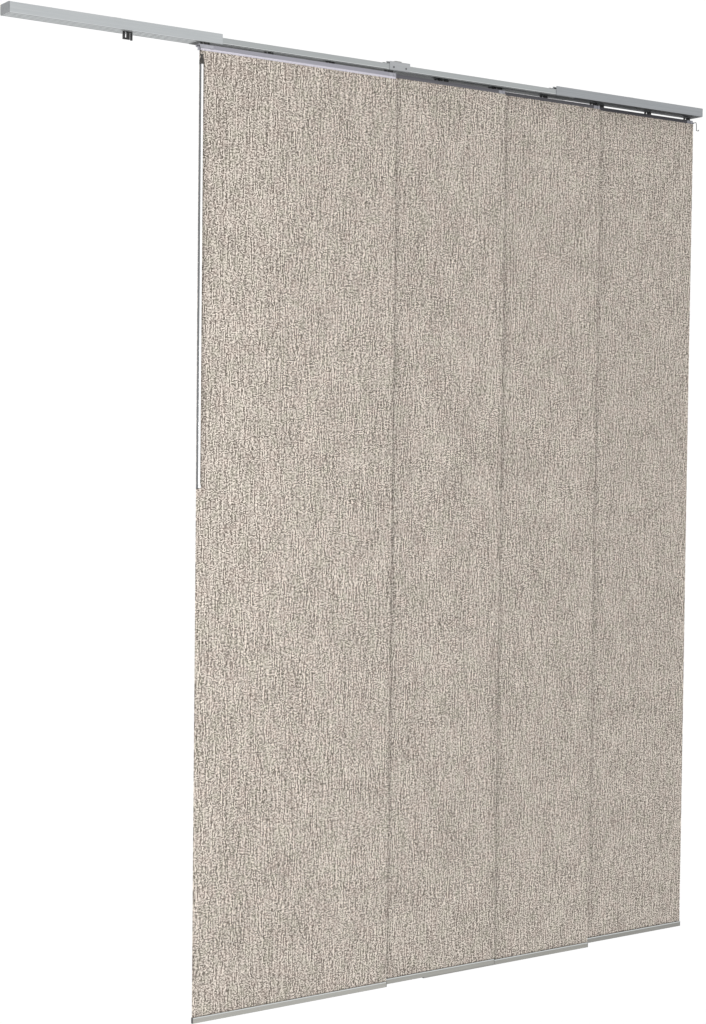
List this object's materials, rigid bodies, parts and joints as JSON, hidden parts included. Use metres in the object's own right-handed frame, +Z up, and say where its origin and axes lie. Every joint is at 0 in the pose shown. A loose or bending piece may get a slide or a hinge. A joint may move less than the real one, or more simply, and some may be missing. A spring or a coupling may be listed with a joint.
{
  "type": "panel track blind",
  "caption": "Sliding panel blind: overlapping woven fabric panels with weighted bottom bars hang on gliders from a telescoping multi-lane ceiling track, with a clear wand.",
  "frame": {"origin": "on the ceiling, at the middle of the track's length and depth, in the top face of the middle clip", "axes": "+X along the track to the right as seen from the room, +Y from the room to the window, +Z up"},
  "size_m": [2.2395, 0.0635, 2.4845],
  "materials": {
    "outer_rail": "satin anodised",
    "inner_rail": "satin anodised",
    "connector": "satin anodised",
    "screws": "zinc plated",
    "end_cap": "moulded, fine matt",
    "clip": "zinc plated",
    "carrier": "satin anodised",
    "hook_tape": "woven nylon hooks",
    "glider": "moulded acetal",
    "end_piece": "moulded, fine matt",
    "fabric": "slubbed linen weave",
    "bottom_bar": "satin anodised",
    "bar_cap": "moulded, fine matt",
    "wire": "plated wire",
    "ferrule": "moulded, semi-matt",
    "wand": "clear acrylic"
  },
  "bodies": {
    "track": {"inner_rail_left": "inner_rail", "inner_rail_right": "inner_rail", "rail_connector": "connector", "connector_screws": "screws", "clip_plate_centre": "clip"},
    "outer_left": {"outer_rail_left": "outer_rail", "end_cap_left": "end_cap", "clip_plate_left": "clip"},
    "outer_right": {"outer_rail_right": "outer_rail", "end_cap_right": "end_cap", "clip_plate_right": "clip"},
    "swivel_left": {"clip_swivel_left": "clip"},
    "swivel_centre": {"clip_swivel_centre": "clip"},
    "swivel_right": {"clip_swivel_right": "clip"},
    "free_glider": {"spare_glider": "glider"},
    "hook": {"wand_hook": "wire"},
    "wand": {"wand_ferrule": "ferrule", "wand_rod": "wand", "wand_tip": "ferrule"},
    "free_hook": {"spare_hook": "wire"},
    "panel_1": {"carrier_1": "carrier", "hook_tape_1": "hook_tape", "gliders_1": "glider", "end_piece_1_left": "end_piece", "end_piece_1_right": "end_piece", "fabric_1": "fabric", "bottom_bar_1": "bottom_bar", "bar_cap_1_left": "bar_cap", "bar_cap_1_right": "bar_cap"},
    "panel_2": {"carrier_2": "carrier", "hook_tape_2": "hook_tape", "gliders_2": "glider", "end_piece_2_left": "end_piece", "end_piece_2_right": "end_piece", "fabric_2": "fabric", "bottom_bar_2": "bottom_bar", "bar_cap_2_left": "bar_cap", "bar_cap_2_right": "bar_cap"},
    "panel_3": {"carrier_3": "carrier", "hook_tape_3": "hook_tape", "gliders_3": "glider", "end_piece_3_left": "end_piece", "end_piece_3_right": "end_piece", "fabric_3": "fabric", "bottom_bar_3": "bottom_bar", "bar_cap_3_left": "bar_cap", "bar_cap_3_right": "bar_cap"},
    "panel_4": {"carrier_4": "carrier", "hook_tape_4": "hook_tape", "gliders_4": "glider", "end_piece_4_left": "end_piece", "end_piece_4_right": "end_piece", "fabric_4": "fabric", "bottom_bar_4": "bottom_bar", "bar_cap_4_left": "bar_cap", "bar_cap_4_right": "bar_cap"}
  },
  "joints": [
    {"name": "outer_left_slide", "type": "slide", "parent": "track", "child": "outer_left", "axis": [1, 0, 0], "range_m": [0, 0.485]},
    {"name": "outer_right_slide", "type": "slide", "parent": "track", "child": "outer_right", "axis": [-1, 0, 0], "range_m": [0, 0.485]},
    {"name": "panel_4_slide", "type": "slide", "parent": "outer_right", "child": "panel_4", "axis": [-1, 0, 0], "range_m": [0, 0.485]},
    {"name": "panel_3_slide", "type": "slide", "parent": "panel_4", "child": "panel_3", "axis": [1, 0, 0], "range_m": [-0.1527, 0.382]},
    {"name": "panel_2_slide", "type": "slide", "parent": "panel_3", "child": "panel_2", "axis": [1, 0, 0], "range_m": [-0.1757, 0.359]},
    {"name": "panel_1_slide", "type": "slide", "parent": "panel_2", "child": "panel_1", "axis": [1, 0, 0], "range_m": [-0.1552, 0.3795]},
    {"name": "free_glider_slide", "type": "slide", "parent": "outer_left", "child": "free_glider", "axis": [-1, 0, 0], "range_m": [-0.2, 0.29]},
    {"name": "wand_swing", "type": "hinge", "parent": "panel_1", "child": "hook", "pos_m": [-0.612, -0.018, -0.0393], "axis": [0, 1, 0], "range_deg": [-60, 60]},
    {"name": "wand_lift", "type": "hinge", "parent": "hook", "child": "wand", "pos_m": [-0.6055, -0.0316, -0.0633], "axis": [-1, 0, 0], "range_deg": [0, 60]},
    {"name": "free_hook_swing", "type": "hinge", "parent": "panel_4", "child": "free_hook", "pos_m": [1.1145, 0.018, -0.0393], "axis": [0, 1, 0], "range_deg": [-60, 10]},
    {"name": "swivel_left_turn", "type": "hinge", "parent": "outer_left", "child": "swivel_left", "pos_m": [-0.83, 0, 0], "axis": [0, 0, 1], "range_deg": [0, 90]},
    {"name": "swivel_centre_turn", "type": "hinge", "parent": "track", "child": "swivel_centre", "pos_m": [0, 0, 0], "axis": [0, 0, 1], "range_deg": [0, 90]},
    {"name": "swivel_right_turn", "type": "hinge", "parent": "outer_right", "child": "swivel_right", "pos_m": [0.83, 0, 0], "axis": [0, 0, 1], "range_deg": [0, 90]}
  ]
}
